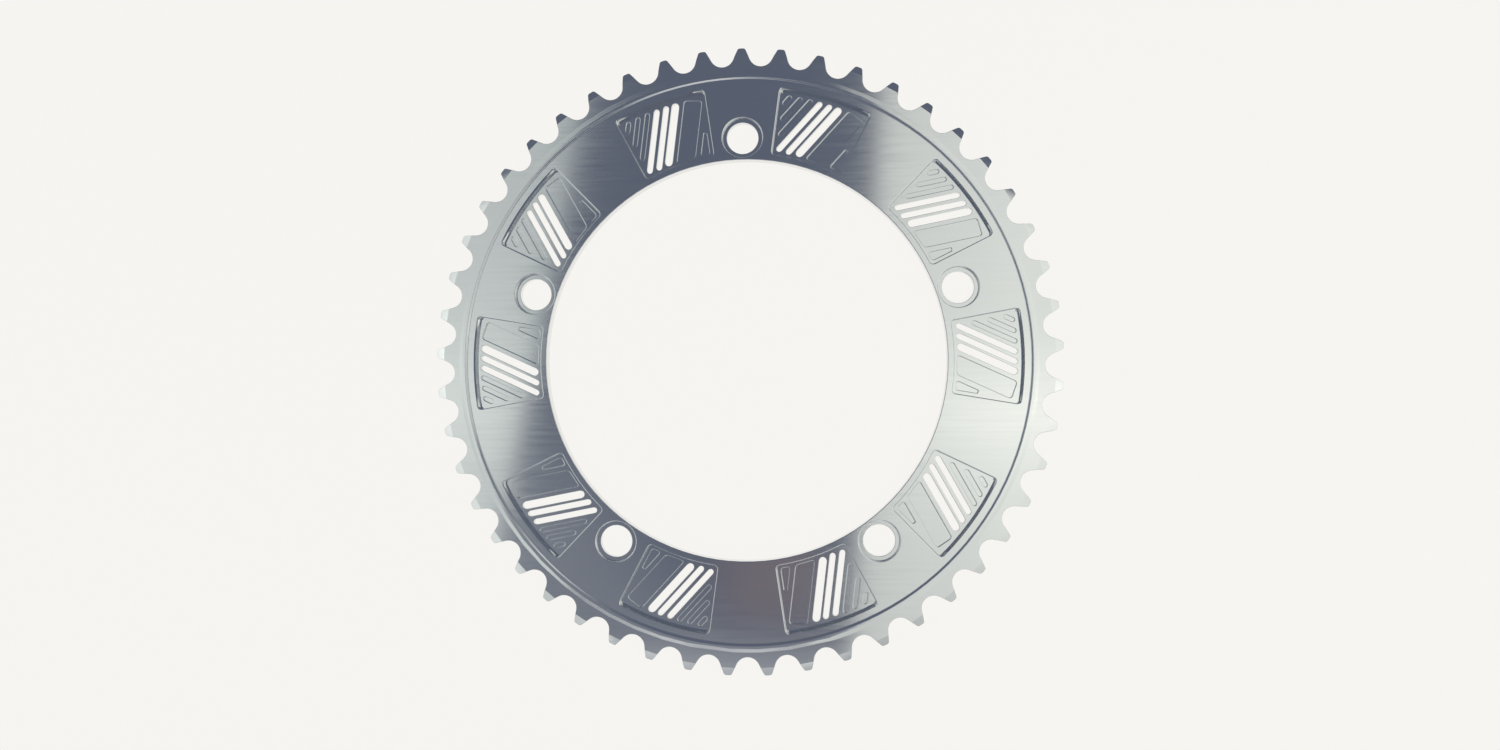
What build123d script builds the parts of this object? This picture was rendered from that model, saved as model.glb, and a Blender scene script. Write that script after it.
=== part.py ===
from build123d import *
import os
from math import asin, cos, degrees, radians, sin, sqrt, tan

# A track chainring cut from one aluminium plate. It lies on its back face in the
# XY plane, its axis is Z, and its front faces up. A tooth and a bolt hole are on +Y.
# Sizes are in millimetres and degrees.

# Chain and teeth
tooth_count = 49
chain_pitch = 12.7
seat_radius = 3.95          # arc that a chain roller beds in
flank_angle = 26.0          # straight flank, from the centre line of the gap
tip_height = 2.1            # tooth tips above the pitch circle
tip_corner = 0.45           # height of the bevelled corners of the tips
tip_corner_angle = 58.0     # their slope, from the centre line of the gap
tooth_thickness = 3.0
tip_bevel_length = 2.5      # bevel on both faces of the tips
tip_bevel_angle = 15.0

# Plate and rim
plate_thickness = 4.0
tooth_band = 1.6            # flat band between the tooth roots and the rim
rim_width = 2.65            # raised rim, from the band to the foot of its step
rim_height = 0.45           # rim above the front of the plate
rim_step = 0.65             # slope on the inner side of the rim
rim_land = 1.1              # flat top of the rim, before it rolls off to the band
rim_drop = 0.12             # band below the top of the rim
back_slope = 1.4            # slope on the back, where the plate meets the band

# Bolts to the crank spider
bolt_count = 5
bolt_circle = 144.0
bolt_hole = 10.2
counterbore = 13.0
counterbore_depth = 1.4
bore_land = 7.3             # from the bolt circle in to the bore

# Pockets in the front, the same number for each bolt
pockets_per_bolt = 2
pocket_web = 20.2           # solid web between two pockets, at the bolt circle
pocket_bore_border = 2.15   # land between a pocket and the bore
pocket_rim_border = 2.4     # land between a pocket and the step of the rim
pocket_depth = 2.2
pocket_corner = 0.7         # bevels in the four corners

# Slots in the floor of a pocket, which lean clockwise from the radius
slot_lean = 25.2
slot_pitch = 2.95
slot_end_facets = 4         # flats that make up the round end of a slot
wide_slot = 2.4
wide_slot_offset = 0.8      # wide slot clockwise of the middle of the pocket
narrow_slot = 1.8
narrow_slot_count = 2
blind_slot = 1.5            # shallow slots that fill the corner before the through slots
blind_slot_limit = 6
panel_gap = 1.45            # rib between the wide slot and the panel
panel_width = 5.85
panel_corner = 0.6          # bevels in its corners, and at the broad end of the wedge
wedge_gap = 1.75            # rib between the panel and the wedge
wedge_tip = 1.1             # width of its blunt end
engraving_depth = 0.4       # blind slots, panel and wedge below the floor
slot_side_margin = 1.2      # floor left beside the inner and side walls
slot_rim_margin = 1.3       # floor left beside the outer wall

# Worked out from the sizes above
pitch_radius = chain_pitch / (2 * sin(radians(180 / tooth_count)))
tip_radius = pitch_radius + tip_height
root_radius = pitch_radius - seat_radius
band_radius = root_radius - tooth_band
rim_foot_radius = band_radius - rim_width
rim_top = plate_thickness + rim_height
band_front = rim_top - rim_drop
band_back = band_front - tooth_thickness
bolt_radius = bolt_circle / 2
bore_radius = bolt_radius - bore_land
pocket_inner = bore_radius + pocket_bore_border
pocket_outer = rim_foot_radius - pocket_rim_border
pocket_count = bolt_count * pockets_per_bolt
pocket_half_angle = 180 / pocket_count - degrees(asin(pocket_web / 2 / bolt_radius))
pocket_floor = plate_thickness - pocket_depth
overshoot = 1.0             # how far cutting shapes stand past what they cut


def blank():
    """The turned blank: bore, plate, raised rim and the band that the teeth are cut in."""
    edge_radius = tip_radius + overshoot
    rim_inner = rim_foot_radius + rim_step
    section = Polyline(
        (bore_radius, 0),
        (band_radius - back_slope, 0),
        (band_radius, band_back),
        (edge_radius, band_back),
        (edge_radius, band_front),
        (band_radius, band_front),
        (rim_inner + rim_land, rim_top),
        (rim_inner, rim_top),
        (rim_foot_radius, plate_thickness),
        (bore_radius, plate_thickness),
        close=True,
    )
    return revolve(Plane.XZ * make_face(section), Axis.Z)


def tooth_gap():
    """The space between two teeth on +X: the roller's seat, two straight flanks and the
    bevelled corners of the tips."""
    lean = radians(flank_angle)
    seat_x = pitch_radius - seat_radius * sin(lean)
    seat_y = seat_radius * cos(lean)
    flank_x = tip_radius - tip_corner
    flank_y = seat_y + (flank_x - seat_x) * tan(lean)
    mouth_x = tip_radius + overshoot
    mouth_y = flank_y + (mouth_x - flank_x) * tan(radians(tip_corner_angle))
    seat = ThreePointArc((seat_x, -seat_y), (root_radius, 0), (seat_x, seat_y))
    sides = Polyline(
        (seat_x, seat_y),
        (flank_x, flank_y),
        (mouth_x, mouth_y),
        (mouth_x, -mouth_y),
        (flank_x, -flank_y),
        (seat_x, -seat_y),
    )
    return make_face([seat, sides])


def tooth_polygon(radius):
    """A polygon with a flat side at this radius across each tooth."""
    turn = 90 + 180 / tooth_count
    return RegularPolygon(radius, tooth_count, major_radius=False, rotation=turn)


def toothed_outline():
    first_gap = 90 + 180 / tooth_count
    gaps = PolarLocations(0, tooth_count, start_angle=first_gap) * tooth_gap()
    return tooth_polygon(tip_radius) - gaps


def tip_bevels():
    """Two frustums, base to base, whose sides bevel the front and back of the tooth tips."""
    middle = (band_front + band_back) / 2
    height = middle + overshoot
    bevel_foot = tip_radius - tip_bevel_length
    base_radius = bevel_foot + tooth_thickness / 2 / tan(radians(tip_bevel_angle))
    front = extrude(tooth_polygon(base_radius), height, taper=90 - tip_bevel_angle)
    return Pos(Z=middle) * (front + mirror(front, about=Plane.XY))


def bolt_hole_cutter():
    """A through hole with a counterbore in the front."""
    seat = plate_thickness - counterbore_depth
    hole = extrude(Pos(Z=-overshoot) * Circle(bolt_hole / 2), plate_thickness + overshoot)
    return hole + extrude(Pos(Z=seat) * Circle(counterbore / 2), counterbore_depth + overshoot)


def pocket_outline():
    """A sector on +Y with bevelled corners, between the bore's land and the rim's."""
    reach = 2 * pocket_outer
    half_width = reach * tan(radians(pocket_half_angle))
    wedge = make_face(Polyline((0, 0), (half_width, reach), (-half_width, reach), close=True))
    sector = (Circle(pocket_outer) - Circle(pocket_inner)) & wedge
    return chamfer(sector.vertices(), pocket_corner)


class SlotFrame:
    """Places in a pocket's floor: across is measured from the centre of the ring
    square to the slots, along is measured in the direction of their lean."""

    def __init__(self):
        self.lean = radians(slot_lean)
        self.half = radians(pocket_half_angle)
        self.inner = pocket_inner + slot_side_margin
        self.outer = pocket_outer - slot_rim_margin
        middle = (pocket_inner + pocket_outer) / 2
        self.wide = wide_slot_offset - middle * sin(self.lean)

    def point(self, across, along):
        x = across * cos(self.lean) + along * sin(self.lean)
        y = along * cos(self.lean) - across * sin(self.lean)
        return (x, y)

    def start(self, across, half_width):
        """Where a slot can start, clear of the inner wall and of the side wall before it."""
        at_inner = sqrt((self.inner + half_width) ** 2 - across ** 2)
        turn = self.lean + self.half
        at_side = (slot_side_margin + half_width - across * cos(turn)) / sin(turn)
        return max(at_inner, at_side)

    def end(self, across, half_width):
        """Where a slot can end, clear of the outer wall and of the side wall after it."""
        at_outer = sqrt((self.outer - half_width) ** 2 - across ** 2)
        turn = self.lean - self.half
        at_side = (-across * cos(turn) - slot_side_margin - half_width) / sin(turn)
        return min(at_outer, at_side)

    def slot(self, across, width):
        """A slot with round ends, or None where the floor has no room for it."""
        half = width / 2
        start = self.start(across, half)
        end = self.end(across, half)
        if end <= start:
            return None
        turns = [radians(180 * k / slot_end_facets) for k in range(slot_end_facets + 1)]
        corners = [self.point(across + half * cos(t), end + half * sin(t)) for t in turns]
        corners += [self.point(across - half * cos(t), start - half * sin(t)) for t in turns]
        return make_face(Polyline(*corners, close=True))

    def through_slots(self):
        slots = [self.slot(self.wide, wide_slot)]
        for k in range(1, narrow_slot_count + 1):
            slots.append(self.slot(self.wide - k * slot_pitch, narrow_slot))
        return [slot for slot in slots if slot]

    def blind_slots(self):
        slots = []
        for k in range(1, blind_slot_limit + 1):
            across = self.wide - (narrow_slot_count + k) * slot_pitch
            slots.append(self.slot(across, blind_slot))
        return [slot for slot in slots if slot]

    def panel(self):
        left = self.wide + wide_slot / 2 + panel_gap
        right = left + panel_width
        outline = Polyline(
            self.point(left, self.start(left, 0)),
            self.point(left, self.end(left, 0)),
            self.point(right, self.end(right, 0)),
            self.point(right, self.start(right, 0)),
            close=True,
        )
        return chamfer(make_face(outline).vertices(), panel_corner)

    def wedge(self):
        left = self.wide + wide_slot / 2 + panel_gap + panel_width + wedge_gap
        tip = self.end(left + wedge_tip, 0)
        base_angle = self.half - asin(slot_side_margin / self.inner)
        outline = Polyline(
            self.point(left, self.start(left, 0)),
            self.point(left, tip),
            self.point(left + wedge_tip, tip),
            (self.inner * sin(base_angle), self.inner * cos(base_angle)),
            close=True,
        )
        face = make_face(outline)
        return chamfer(face.vertices().sort_by(SortBy.DISTANCE)[:2], panel_corner)


def pocket_cutter():
    """A pocket on +Y with its slots, panel and wedge."""
    well = extrude(Pos(Z=pocket_floor) * pocket_outline(), pocket_depth + overshoot)
    frame = SlotFrame()
    open_slots = Pos(Z=-overshoot) * Sketch(frame.through_slots())
    engraved = frame.blind_slots() + [frame.panel(), frame.wedge()]
    engraving = Pos(Z=pocket_floor - engraving_depth) * Sketch(engraved)
    through = extrude(open_slots, pocket_floor + 2 * overshoot)
    blind = extrude(engraving, engraving_depth + overshoot)
    return well + through + blind


def chainring():
    teeth = extrude(Pos(Z=-overshoot) * toothed_outline(), rim_top + 2 * overshoot)
    ring = blank() & teeth & tip_bevels()
    ring -= PolarLocations(bolt_radius, bolt_count, start_angle=90) * bolt_hole_cutter()
    pocket_step = 360 / pocket_count
    ring -= PolarLocations(0, pocket_count, start_angle=pocket_step / 2) * pocket_cutter()
    return ring


os.makedirs("parts", exist_ok=True)
export_step(chainring(), "parts/chainring.step")
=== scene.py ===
import math
import bmesh
import bpy
from mathutils import Matrix, Vector


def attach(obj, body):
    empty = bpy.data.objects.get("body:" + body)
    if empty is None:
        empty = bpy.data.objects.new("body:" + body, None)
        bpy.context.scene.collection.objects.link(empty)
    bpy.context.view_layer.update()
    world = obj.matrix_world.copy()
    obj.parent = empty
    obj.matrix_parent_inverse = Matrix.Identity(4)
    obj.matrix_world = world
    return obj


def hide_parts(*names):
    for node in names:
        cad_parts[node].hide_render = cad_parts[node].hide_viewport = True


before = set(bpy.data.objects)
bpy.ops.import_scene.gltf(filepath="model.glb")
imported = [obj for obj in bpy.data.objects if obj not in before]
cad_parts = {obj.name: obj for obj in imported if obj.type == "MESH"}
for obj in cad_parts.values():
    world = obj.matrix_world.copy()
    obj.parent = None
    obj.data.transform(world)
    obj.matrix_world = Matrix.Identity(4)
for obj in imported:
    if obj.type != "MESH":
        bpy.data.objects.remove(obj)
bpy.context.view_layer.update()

mm = 0.001  # sizes below are in millimetres, Blender works in metres


# sockets and nodes

class Wire:  # one output socket, with sums written as plain Python
    def __init__(self, tree, socket):
        self.tree = tree
        self.socket = socket

    def math(self, operation, first, second):
        return self.tree.add("ShaderNodeMath", {"operation": operation}, {0: first, 1: second})

    def __add__(self, other):
        return self.math("ADD", self, other)

    def __radd__(self, other):
        return self.math("ADD", other, self)

    def __sub__(self, other):
        return self.math("SUBTRACT", self, other)

    def __rsub__(self, other):
        return self.math("SUBTRACT", other, self)

    def __mul__(self, other):
        return self.math("MULTIPLY", self, other)

    def __rmul__(self, other):
        return self.math("MULTIPLY", other, self)


class NodeTree:  # the nodes of a material, a lamp or the world, added one at a time
    def __init__(self, owner):
        owner.use_nodes = True
        self.tree = owner.node_tree
        self.tree.nodes.clear()

    def add(self, kind, settings, inputs, output=0):
        node = self.tree.nodes.new(kind)
        for name, value in settings.items():
            if name == "stops":
                self.setStops(node.color_ramp, value)
            else:
                setattr(node, name, value)
        for name, value in inputs.items():
            if isinstance(value, Wire):
                self.tree.links.new(value.socket, node.inputs[name])
            else:
                node.inputs[name].default_value = value
        if len(node.outputs) == 0:
            return node
        return Wire(self, node.outputs[output])

    def setStops(self, ramp, stops):
        while len(ramp.elements) < len(stops):
            ramp.elements.new(1.0)
        for element, (place, level) in zip(ramp.elements, stops):
            element.position = place
            element.color = (level, level, level, 1.0)


# satin aluminium

satin = {
    "colour": (0.86, 0.87, 0.87, 1.0),
    "dullColour": (0.80, 0.81, 0.82, 1.0),
    "dullShare": 0.5,
    "roughness": 0.12,
    "roughnessSpread": 0.11,
    "brushAcross": 1100.0,  # streaks per metre, square to the brushing
    "brushAlong": 50.0,
    "brushDetail": 3.0,
    "brushDepth": 0.0014,  # mm
    "cloudScale": 55.0,  # blotches per metre
    "cloudDetail": 4.0,
    "noiseMiddle": 0.5,
}


def makeSatinAluminium():
    material = bpy.data.materials.new("satinAluminium")
    nodes = NodeTree(material)
    place = nodes.add("ShaderNodeTexCoord", {}, {}, "Object")
    stretch = (satin["brushAlong"], satin["brushAcross"], satin["brushAlong"])  # brushed along X
    stretched = nodes.add("ShaderNodeMapping", {}, {"Vector": place, "Scale": stretch})
    brushing = nodes.add(
        "ShaderNodeTexNoise",
        {},
        {"Vector": stretched, "Scale": 1.0, "Detail": satin["brushDetail"]},
    )
    clouds = nodes.add(
        "ShaderNodeTexNoise",
        {},
        {"Vector": place, "Scale": satin["cloudScale"], "Detail": satin["cloudDetail"]},
    )
    roughness = satin["roughness"] + (brushing - satin["noiseMiddle"]) * satin["roughnessSpread"]
    dullness = (clouds + brushing) * satin["dullShare"]
    colour = nodes.add(
        "ShaderNodeMix",
        {"data_type": "RGBA"},
        {"Factor": dullness, "A": satin["colour"], "B": satin["dullColour"]},
        "Result",
    )
    relief = nodes.add(
        "ShaderNodeBump",
        {},
        {"Strength": 1.0, "Distance": satin["brushDepth"] * mm, "Height": brushing},
        "Normal",
    )
    surface = nodes.add(
        "ShaderNodeBsdfPrincipled",
        {},
        {"Base Color": colour, "Metallic": 1.0, "Roughness": roughness, "Normal": relief},
    )
    nodes.add("ShaderNodeOutputMaterial", {}, {"Surface": surface})
    return material


# the ring, a copy of the solid with its corners and edges rounded off

machining = {
    "mergeGap": 0.002,  # mm, like all sizes here
    "levelGap": 0.02,  # how far off its height a level edge may be
    "flatness": 0.999,  # least upright part of a flat's normal
    "steepShare": 0.5,  # an edge that rises by more of its length is upright
    "flatAngle": 0.6,  # degrees, like all angles here
    "cornerAngle": 20.0,
    "edgeAngle": 25.0,
    "frontAngle": 40.0,
    "smoothAngle": 50.0,
    "toothReach": 97.0,  # corners further out than this are on the teeth
    "plateTop": 4.0,
    "rimFoot": 90.9,  # radius at the foot of the rim's step
    "stepSharpening": 0.16,  # how far the foot moves out, for a steeper step
    "pocketFloor": 1.8,
    "engravedFloor": 1.4,
    "outerWall": 88.5,  # radius of the outer walls of the pockets
    "wallInside": 0.15,  # an edge this far inside them still counts as theirs
    "wallOutside": 0.1,  # and this far outside their bevel
    "wallBevel": 0.42,  # along their top edges, how wide
    "wallBevelDrop": 0.53,  # and how far down
    "toothCorner": 0.25,
    "pocketCorner": 0.40,
    "cornerSteps": 3,
    "slotCorner": 0.25,
    "slotSteps": 2,
    "edgeBreak": 0.10,
    "floorBreak": 0.09,  # the edges in the floors of the pockets
    "breakSteps": 2,
    "frontBreak": 0.28,  # the edges on the front of the plate
    "frontSteps": 4,
    "border": 0.16,  # strip beside an edge that keeps the flats flat
    "frontBorder": 0.33,
}


def edgeHeight(edge):
    return (edge.verts[0].co.z + edge.verts[1].co.z) / 2 / mm


def edgeReach(edge):
    middle = (edge.verts[0].co + edge.verts[1].co) / 2 / mm
    return math.hypot(middle.x, middle.y)


def edgeTurn(edge):
    if not edge.is_manifold:
        return 0.0
    return math.degrees(edge.calc_face_angle())


def isSteep(edge):
    rise = abs(edge.verts[0].co.z - edge.verts[1].co.z)
    return rise > machining["steepShare"] * edge.calc_length()


def isLevel(edge, height):
    return all(abs(vert.co.z / mm - height) < machining["levelGap"] for vert in edge.verts)


def isFlat(face):
    return abs(face.normal.z) > machining["flatness"]


def pick(piece, kind, wanted):
    bpy.ops.mesh.select_mode(type=kind)
    bpy.ops.mesh.select_all(action="DESELECT")
    shape = bmesh.from_edit_mesh(piece.data)
    for part in shape.edges if kind == "EDGE" else shape.faces:
        if wanted(part):
            part.select = True
    shape.select_flush_mode()
    bmesh.update_edit_mesh(piece.data)


def roundOff(piece, size, steps, wanted):
    pick(piece, "EDGE", wanted)
    bpy.ops.mesh.bevel(offset=size * mm, segments=steps, affect="EDGES", clamp_overlap=False)


def flatLevels(piece):  # the heights at which it has flats
    shape = bmesh.from_edit_mesh(piece.data)
    heights = [face.calc_center_median().z / mm for face in shape.faces if isFlat(face)]
    return sorted({round(height, 2) for height in heights})


def isOnOuterWall(edge):
    past = edgeReach(edge) - machining["outerWall"]
    return -machining["wallInside"] < past < machining["wallBevel"] + machining["wallOutside"]


def moveOut(piece, reach, shift, wanted):
    pick(piece, "EDGE", wanted)
    scale = 1 + shift / reach
    bpy.ops.transform.resize(value=(scale, scale, 1.0), center_override=(0.0, 0.0, 0.0))


def steepenStep(piece):  # on the inner side of the rim
    nearest = machining["rimFoot"] - machining["stepSharpening"]
    atFoot = lambda edge: isLevel(edge, machining["plateTop"]) and edgeReach(edge) > nearest
    moveOut(piece, machining["rimFoot"], machining["stepSharpening"], atFoot)


def bevelWalls(piece):  # the top edges of the outer walls of the pockets
    cut = machining["plateTop"] - machining["wallBevelDrop"]
    pick(piece, "FACE", lambda face: all(isOnOuterWall(edge) for edge in face.edges))
    bpy.ops.mesh.bisect(plane_co=(0.0, 0.0, cut * mm), plane_no=(0.0, 0.0, 1.0))
    pick(piece, "EDGE", lambda edge: isLevel(edge, cut))
    bpy.ops.mesh.mark_sharp()
    onTop = lambda edge: isOnOuterWall(edge) and isLevel(edge, machining["plateTop"])
    moveOut(piece, machining["outerWall"], machining["wallBevel"], onTop)


def roundCorners(piece):  # the upright edges, where the outline turns
    turns = lambda edge: isSteep(edge) and edgeTurn(edge) > machining["cornerAngle"]
    onTeeth = lambda edge: turns(edge) and edgeReach(edge) > machining["toothReach"]
    onPlate = lambda edge: turns(edge) and not onTeeth(edge)
    aboveFloor = lambda edge: onPlate(edge) and edgeHeight(edge) > machining["pocketFloor"]
    belowFloor = lambda edge: onPlate(edge) and not aboveFloor(edge)
    roundOff(piece, machining["toothCorner"], machining["cornerSteps"], onTeeth)
    roundOff(piece, machining["pocketCorner"], machining["cornerSteps"], aboveFloor)
    roundOff(piece, machining["slotCorner"], machining["slotSteps"], belowFloor)


def fillFlats(piece, levels):  # each flat again, with a narrow border along its edges
    for height in levels:
        pick(piece, "EDGE", lambda edge: edge.is_boundary and isLevel(edge, height))
        bpy.ops.mesh.fill(use_beauty=True)
    bpy.ops.mesh.select_all(action="SELECT")
    bpy.ops.mesh.normals_make_consistent(inside=False)
    for height in levels:
        onFront = height == machining["plateTop"]
        border = machining["frontBorder"] if onFront else machining["border"]
        pick(piece, "FACE", lambda face: isFlat(face) and isLevel(face.edges[0], height))
        bpy.ops.mesh.inset(thickness=border * mm, use_even_offset=True, use_boundary=True)


def breakEdges(piece):
    turned = lambda edge: not isSteep(edge) and edgeTurn(edge) > machining["edgeAngle"]
    sharp = lambda edge: turned(edge) and not isOnOuterWall(edge)
    floors = (machining["pocketFloor"], machining["engravedFloor"])
    onFloor = lambda edge: sharp(edge) and any(isLevel(edge, height) for height in floors)
    square = lambda edge: sharp(edge) and edgeTurn(edge) > machining["frontAngle"]
    onPlate = lambda edge: square(edge) and isLevel(edge, machining["plateTop"])
    onFront = lambda edge: onPlate(edge) and edgeReach(edge) < machining["outerWall"]
    elsewhere = lambda edge: sharp(edge) and not onFloor(edge) and not onFront(edge)
    roundOff(piece, machining["edgeBreak"], machining["breakSteps"], elsewhere)
    roundOff(piece, machining["floorBreak"], machining["breakSteps"], onFloor)
    roundOff(piece, machining["frontBreak"], machining["frontSteps"], onFront)


def makeRing():
    bpy.ops.object.select_all(action="DESELECT")
    ring = bpy.data.objects.new("roundedRing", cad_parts["chainring"].data.copy())
    bpy.context.scene.collection.objects.link(ring)
    ring.select_set(True)
    bpy.context.view_layer.objects.active = ring
    ring.data.materials.clear()
    ring.data.materials.append(makeSatinAluminium())
    bpy.ops.object.mode_set(mode="EDIT")
    bpy.ops.mesh.select_all(action="SELECT")
    bpy.ops.mesh.customdata_custom_splitnormals_clear()
    bpy.ops.mesh.remove_doubles(threshold=machining["mergeGap"] * mm)
    bpy.ops.mesh.dissolve_limited(angle_limit=math.radians(machining["flatAngle"]))
    steepenStep(ring)
    bevelWalls(ring)
    levels = flatLevels(ring)
    pick(ring, "FACE", isFlat)
    bpy.ops.mesh.delete(type="FACE")  # so that the corners round without pulling at the flats
    roundCorners(ring)
    fillFlats(ring, levels)
    breakEdges(ring)
    bpy.ops.mesh.select_all(action="SELECT")
    bpy.ops.mesh.remove_doubles(threshold=machining["mergeGap"] * mm)
    bpy.ops.object.mode_set(mode="OBJECT")
    bpy.ops.object.shade_smooth_by_angle(angle=math.radians(machining["smoothAngle"]))
    ring.modifiers.new("steadyFlats", "WEIGHTED_NORMAL").keep_sharp = True
    bpy.ops.object.modifier_apply(modifier="steadyFlats")
    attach(ring, "root")
    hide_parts("chainring")
    return ring


ring = makeRing()
print("ring: faces", len(ring.data.polygons))


# floor

floorLook = {
    "size": 6000.0,  # mm
    "colour": (0.80, 0.79, 0.77, 1.0),
    "backdrop": (0.975, 0.957, 0.921, 1.0),
    "glow": 0.92,  # share of the backdrop that the camera and the metal see
}


def seenRays(nodes):  # 1 for what is seen directly, in the metal or through something
    direct = nodes.add("ShaderNodeLightPath", {}, {}, "Is Camera Ray")
    inMetal = nodes.add("ShaderNodeLightPath", {}, {}, "Is Glossy Ray")
    through = nodes.add("ShaderNodeLightPath", {}, {}, "Is Transmission Ray")
    return nodes.add(
        "ShaderNodeMath",
        {"operation": "ADD", "use_clamp": True},
        {0: direct + inMetal, 1: through},
    )


def makeFloor():
    bpy.ops.object.select_all(action="DESELECT")
    bpy.ops.mesh.primitive_plane_add(size=floorLook["size"] * mm)
    floor = bpy.context.object
    floor.name = "floor"
    material = bpy.data.materials.new("paleFloor")
    nodes = NodeTree(material)
    matte = nodes.add("ShaderNodeBsdfDiffuse", {}, {"Color": floorLook["colour"]})
    glow = nodes.add("ShaderNodeEmission", {}, {"Color": floorLook["backdrop"], "Strength": 1.0})
    seen = seenRays(nodes) * floorLook["glow"]
    mixed = nodes.add("ShaderNodeMixShader", {}, {0: seen, 1: matte, 2: glow})
    nodes.add("ShaderNodeOutputMaterial", {}, {"Surface": mixed})
    floor.data.materials.append(material)


makeFloor()
print("floor: pale, with a faint shadow")


# light

studio = {
    "room": (0.112, 0.130, 0.178, 1.0),
    "backdrop": (0.922, 0.905, 0.871, 1.0),
    "height": 500.0,  # mm, the lamps hang above the ring and face down
    "step": 6.0,  # each lamp is a little above the one before, so all show where they overlap
    "gapAt": (12.0, -14.0, 500.0),  # no light round the camera
    "gapInside": 67.0,  # dark up to here
    "gapOutside": 92.0,  # full light from here on
    "lamps": {  # inner edge from low end to high end, light along it and across to the outer edge
        "rightLamp": {
            "from": (17.0, -620.0),
            "to": (82.0, 368.0),
            "depth": 1500.0,
            "colour": (0.995, 1.0, 0.87),
            "along": [
                (0.0, 0.0), (0.065, 0.03), (0.085, 0.24), (0.12, 0.41), (0.17, 0.42), (0.26, 0.47),
                (0.38, 0.63), (0.43, 0.645), (0.486, 0.67), (0.526, 0.72), (0.567, 0.81),
                (0.587, 0.875), (0.607, 0.985), (0.624, 0.93), (0.648, 0.83), (0.688, 0.715),
                (0.745, 0.705), (0.83, 0.665), (0.93, 0.66), (0.96, 0.53), (1.0, 0.25),
            ],
            "across": [
                (0.0, 0.88), (0.05, 0.92), (0.075, 1.0), (0.14, 1.0), (0.2, 1.15), (0.34, 1.15),
                (0.42, 0.8), (0.55, 0.6), (1.0, 0.6),
            ],
        },
        "leftLamp": {
            "from": (-333.0, -620.0),
            "to": (-135.0, 370.0),
            "depth": -1500.0,
            "colour": (0.955, 1.0, 0.88),
            "along": [
                (0.0, 0.52), (0.2, 0.5), (0.456, 0.46), (0.555, 0.58), (0.603, 0.7), (0.627, 0.655),
                (0.65, 0.6), (0.688, 0.54), (0.731, 0.5), (0.779, 0.47), (0.826, 0.45), (0.9, 0.44),
                (0.93, 0.33), (0.955, 0.12), (0.975, 0.03), (1.0, 0.0),
            ],
            "across": [
                (0.0, 0.94), (0.03, 1.0), (0.34, 1.0), (0.42, 0.7), (0.5, 0.25), (0.6, 0.1),
                (1.0, 0.05),
            ],
        },
        "leftFarLamp": {
            "from": (-500.0, -620.0),
            "to": (-420.0, 360.0),
            "depth": -320.0,
            "colour": (1.0, 1.0, 0.95),
            "along": [
                (0.0, 0.1), (0.43, 0.28), (0.54, 0.42), (0.62, 0.42), (0.82, 0.26), (0.9, 0.26),
                (0.935, 0.34), (1.0, 0.33),
            ],
            "across": [(0.0, 1.0), (0.8, 1.0), (1.0, 0.0)],
        },
        "lowLamp": {
            "from": (200.0, -1420.0),
            "to": (-580.0, -140.0),
            "depth": 460.0,
            "colour": (1.0, 1.0, 0.94),
            "along": [
                (0.0, 0.36), (0.5, 0.31), (0.555, 0.33), (0.586, 0.38), (0.62, 0.42), (0.645, 0.475),
                (0.67, 0.56), (0.69, 0.42), (0.72, 0.15), (0.766, 0.075), (0.81, 0.09), (0.88, 0.1),
                (0.93, 0.03), (1.0, 0.0),
            ],
            "across": [
                (0.0, 0.45), (0.12, 1.0), (0.6, 1.0), (0.8, 0.8), (0.9, 0.2), (0.95, 0.0),
                (1.0, 0.0),
            ],
        },
        "footCard": {
            "from": (-170.0, -430.0),
            "to": (-170.0, -197.0),
            "depth": 230.0,
            "colour": (1.0, 1.0, 0.94),
            "along": [(0.0, 0.12), (0.33, 0.17), (0.7, 0.22), (0.9, 0.2), (0.95, 0.12), (1.0, 0.0)],
            "across": [(0.0, 0.0), (0.25, 1.0), (0.85, 1.0), (1.0, 0.4)],
        },
        "rimCard": {
            "from": (-118.0, -366.0),
            "to": (-262.0, -274.0),
            "depth": 46.0,
            "colour": (1.0, 1.0, 0.94),
            "along": [(0.0, 0.0), (0.12, 0.3), (0.3, 0.42), (0.5, 0.65), (0.85, 0.6), (1.0, 0.2)],
            "across": [(0.0, 0.0), (0.3, 1.0), (0.7, 1.0), (1.0, 0.0)],
        },
        "frontLamp": {
            "from": (-300.0, -1900.0),
            "to": (-300.0, -900.0),
            "depth": 1300.0,
            "colour": (1.0, 1.0, 0.94),
            "along": [(0.0, 0.5), (0.8, 0.5), (1.0, 0.0)],
            "across": [(0.0, 0.0), (0.2, 1.0), (1.0, 1.0)],
        },
        "cornerLamp": {
            "from": (500.0, 650.0),
            "to": (500.0, 1500.0),
            "depth": 1000.0,
            "colour": (1.0, 1.0, 0.94),
            "along": [(0.0, 0.0), (0.2, 0.6), (1.0, 0.6)],
            "across": [(0.0, 0.0), (0.2, 1.0), (1.0, 1.0)],
        },
        "warmCard": {
            "from": (-80.0, -205.0),
            "to": (-80.0, -110.0),
            "depth": 110.0,
            "colour": (1.0, 0.4, 0.06),
            "along": [(0.0, 0.0), (0.35, 0.075), (0.8, 0.075), (1.0, 0.0)],
            "across": [(0.0, 0.0), (0.4, 1.0), (0.8, 1.0), (1.0, 0.0)],
        },
    },
}


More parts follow.
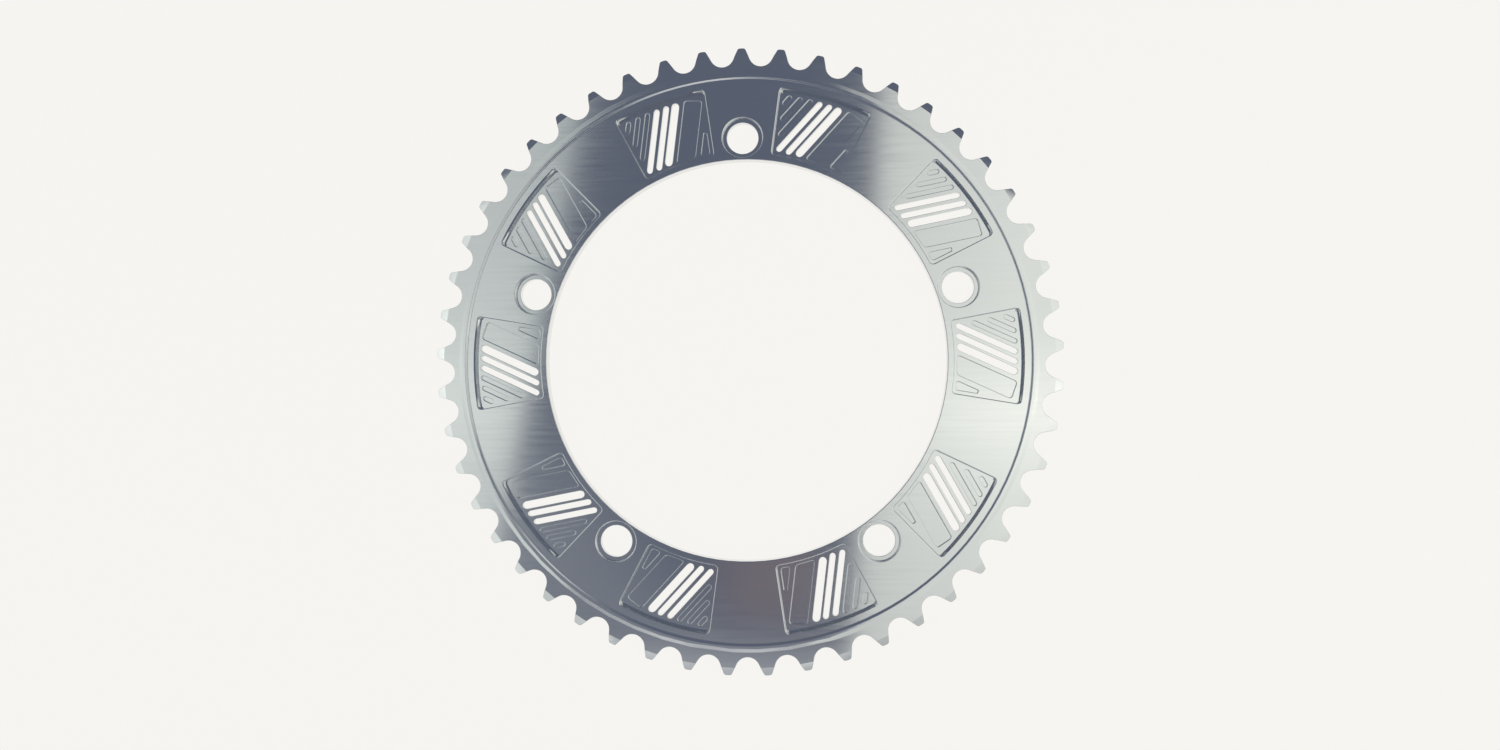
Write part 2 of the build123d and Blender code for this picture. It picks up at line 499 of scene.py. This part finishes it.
def hangLamp(name, lamp, height):
    low = Vector((*lamp["from"], height)) * mm
    high = Vector((*lamp["to"], height)) * mm
    edge = high - low
    outward = Vector((edge.y, -edge.x, 0)).normalized() * lamp["depth"] * mm
    bpy.ops.object.light_add(type="AREA", location=(low + high + outward) / 2)
    light = bpy.context.object
    light.name = name
    light.rotation_euler.z = -math.atan2(edge.x, edge.y)
    light.visible_camera = False
    light.data.shape = "RECTANGLE"
    light.data.size = outward.length
    light.data.size_y = edge.length
    light.data.color = lamp["colour"]
    light.data.energy = math.pi * light.data.size * light.data.size_y  # a stop of 1 renders as 1
    nodes = NodeTree(light.data)
    place = nodes.add("ShaderNodeNewGeometry", {}, {}, "Parametric")
    across = nodes.add("ShaderNodeSeparateXYZ", {}, {"Vector": place}, "X")
    along = nodes.add("ShaderNodeSeparateXYZ", {}, {"Vector": place}, "Y")
    if lamp["depth"] < 0:
        across = 1.0 - across
    rise = nodes.add("ShaderNodeValToRGB", {"stops": lamp["along"]}, {"Fac": along})
    fall = nodes.add("ShaderNodeValToRGB", {"stops": lamp["across"]}, {"Fac": across})
    spot = nodes.add("ShaderNodeNewGeometry", {}, {}, "Position")
    middle = Vector(studio["gapAt"]) * mm
    away = nodes.add("ShaderNodeVectorMath", {"operation": "DISTANCE"}, {0: spot, 1: middle}, "Value")
    clear = nodes.add(
        "ShaderNodeMapRange",
        {},
        {"Value": away, "From Min": studio["gapInside"] * mm, "From Max": studio["gapOutside"] * mm},
    )
    glow = nodes.add("ShaderNodeEmission", {}, {"Color": rise, "Strength": fall * clear})
    nodes.add("ShaderNodeOutputLight", {}, {"Surface": glow})


def lightRoom():
    world = bpy.data.worlds.new("room")
    bpy.context.scene.world = world
    nodes = NodeTree(world)
    dim = nodes.add("ShaderNodeBackground", {}, {"Color": studio["room"], "Strength": 1.0})
    pale = nodes.add("ShaderNodeBackground", {}, {"Color": studio["backdrop"], "Strength": 1.0})
    direct = nodes.add("ShaderNodeLightPath", {}, {}, "Is Camera Ray")
    mixed = nodes.add("ShaderNodeMixShader", {}, {0: direct, 1: dim, 2: pale})
    nodes.add("ShaderNodeOutputWorld", {}, {"Surface": mixed})
    height = studio["height"]
    for name, lamp in studio["lamps"].items():
        hangLamp(name, lamp, height)
        height += studio["step"]


lightRoom()
print("light: lamps", len(studio["lamps"]))


# camera

shot = {
    "from": (24.99, -15.46, 353.6),  # mm
    "at": (1.648, -5.017, 3.5),
    "roll": 0.0106,  # radians
    "lens": 26.16,
    "sensor": 36.0,
    "nearest": 10.0,  # where the view begins
}


def aimCamera():
    place = Vector(shot["from"]) * mm
    ahead = (Vector(shot["at"]) * mm - place).normalized()
    side = ahead.cross(Vector((0, 1, 0))).normalized()
    top = side.cross(ahead)
    upright = Matrix((side, top, -ahead)).transposed().to_4x4()
    turn = upright @ Matrix.Rotation(-shot["roll"], 4, "Z")
    bpy.ops.object.camera_add(location=place, rotation=turn.to_euler())
    camera = bpy.context.object
    camera.data.sensor_width = shot["sensor"]
    camera.data.lens = shot["lens"]
    camera.data.clip_start = shot["nearest"] * mm
    bpy.context.scene.camera = camera


aimCamera()
bpy.context.scene.view_settings.view_transform = "Standard"
print("camera: above the ring")
